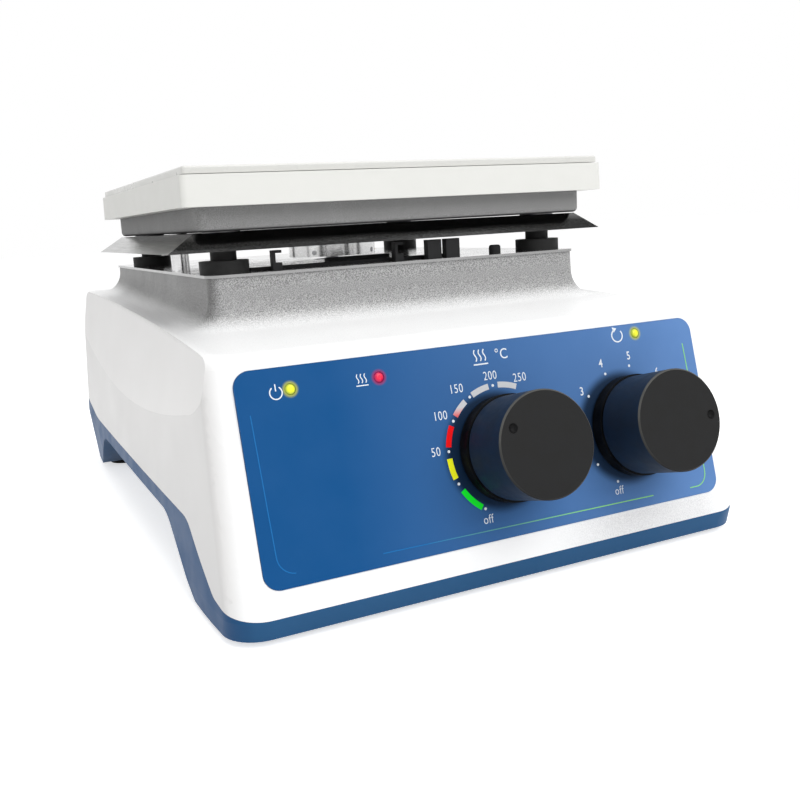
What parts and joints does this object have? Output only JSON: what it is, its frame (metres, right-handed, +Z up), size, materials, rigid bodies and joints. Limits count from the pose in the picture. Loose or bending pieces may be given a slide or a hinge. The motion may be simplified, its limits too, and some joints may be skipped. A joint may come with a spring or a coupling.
{
  "type": "hotplate magnetic stirrer",
  "caption": "Square hot plate on spacers above a magnetic stirring drive, on a housing with a sloping control panel, knobs, indicator lamps and an arched base.",
  "frame": {"origin": "on the floor under the centre of the whole part's bounding box; the stirring axis stands 13.86 mm behind it, towards +Y", "axes": "+Z up; -Y towards the control panel, so the user stands at -Y; +X to the user's right"},
  "size_m": [0.175, 0.2712, 0.1242],
  "materials": {
    "plate_white": "white ceramic coat on an aluminium plate",
    "skirt_white": "off-white stove enamel",
    "pan_grey": "grey textured paint",
    "tray_bright": "polished stainless sheet",
    "spacer_black": "black heat-proof moulding",
    "steel": "plain steel",
    "bright_metal": "turned bright aluminium",
    "deck_bright": "polished stainless sheet",
    "housing_white": "smooth white moulding",
    "base_blue": "satin blue moulding",
    "panel_blue": "blue printed overlay",
    "knob_black": "satin black moulding",
    "lamp_yellow": "yellow light pipe",
    "lamp_red": "red light pipe",
    "rubber_black": "black rubber",
    "plastic_black": "black moulding",
    "board_green": "green circuit board",
    "copper": "enamelled copper",
    "iron": "laminated iron",
    "brass": "plain brass",
    "insulation": "mineral fibre",
    "mica": "mica card",
    "magnet": "plated magnet",
    "fuse_glass": "glass fuse tube"
  },
  "bodies": {
    "stirrer": {"top_plate": "plate_white", "plate_skirt": "skirt_white", "heating_element": "steel", "heater_card": "mica", "insulation_pad": "insulation", "heater_pan": "pan_grey", "spill_tray": "tray_bright", "tray_washers": "steel", "plate_spacers": "spacer_black", "plate_screws": "steel", "plate_nuts": "steel", "temperature_probe": "bright_metal", "terminal_posts": "plastic_black", "deck_plug": "rubber_black", "sensor_bar": "plastic_black", "lead_clip": "plastic_black", "probe_lead": "rubber_black", "deck_plate": "deck_bright", "rod_socket": "brass", "upper_housing": "housing_white", "lower_housing": "base_blue", "foot_pads": "rubber_black", "housing_screws": "steel", "control_panel": "panel_blue", "power_lamp": "lamp_yellow", "hot_lamp": "lamp_red", "stir_lamp": "lamp_yellow", "heat_potentiometer": "steel", "stir_potentiometer": "steel", "control_nuts": "brass", "control_board": "board_green", "motor_can": "steel", "shaft_bearings": "steel", "motor_stator": "iron", "motor_pillars": "bright_metal", "power_board": "board_green", "board_screws": "steel", "transformer_core": "iron", "transformer_coil": "copper", "heater_relay": "plastic_black", "mains_inlet": "plastic_black", "inlet_pins": "brass"},
    "heat_control": {"heat_knob": "knob_black", "heat_shaft": "bright_metal"},
    "stir_control": {"stir_knob": "knob_black", "stir_shaft": "bright_metal"},
    "rotor": {"motor_shaft": "steel", "motor_rotor": "iron", "magnet_carrier": "bright_metal", "drive_magnets": "magnet", "grub_screws": "steel"},
    "fuse_tray": {"fuse_drawer": "plastic_black", "fuses": "fuse_glass"}
  },
  "joints": [
    {"name": "heat_turn", "type": "hinge", "parent": "stirrer", "child": "heat_control", "pos_m": [0.0006, -0.11058, 0.039], "axis": [0, 0.9677, -0.2521], "range_deg": [-88, 207]},
    {"name": "stir_turn", "type": "hinge", "parent": "stirrer", "child": "stir_control", "pos_m": [0.0467, -0.11058, 0.039], "axis": [0, 0.9677, -0.2521], "range_deg": [-238, 60]},
    {"name": "drive_spin", "type": "hinge", "parent": "stirrer", "child": "rotor", "pos_m": [0, 0.01386, 0.07], "axis": [0, 0, 1], "continuous": true},
    {"name": "fuse_slide", "type": "slide", "parent": "stirrer", "child": "fuse_tray", "axis": [0, 1, 0], "range_m": [0, 0.018]}
  ]
}
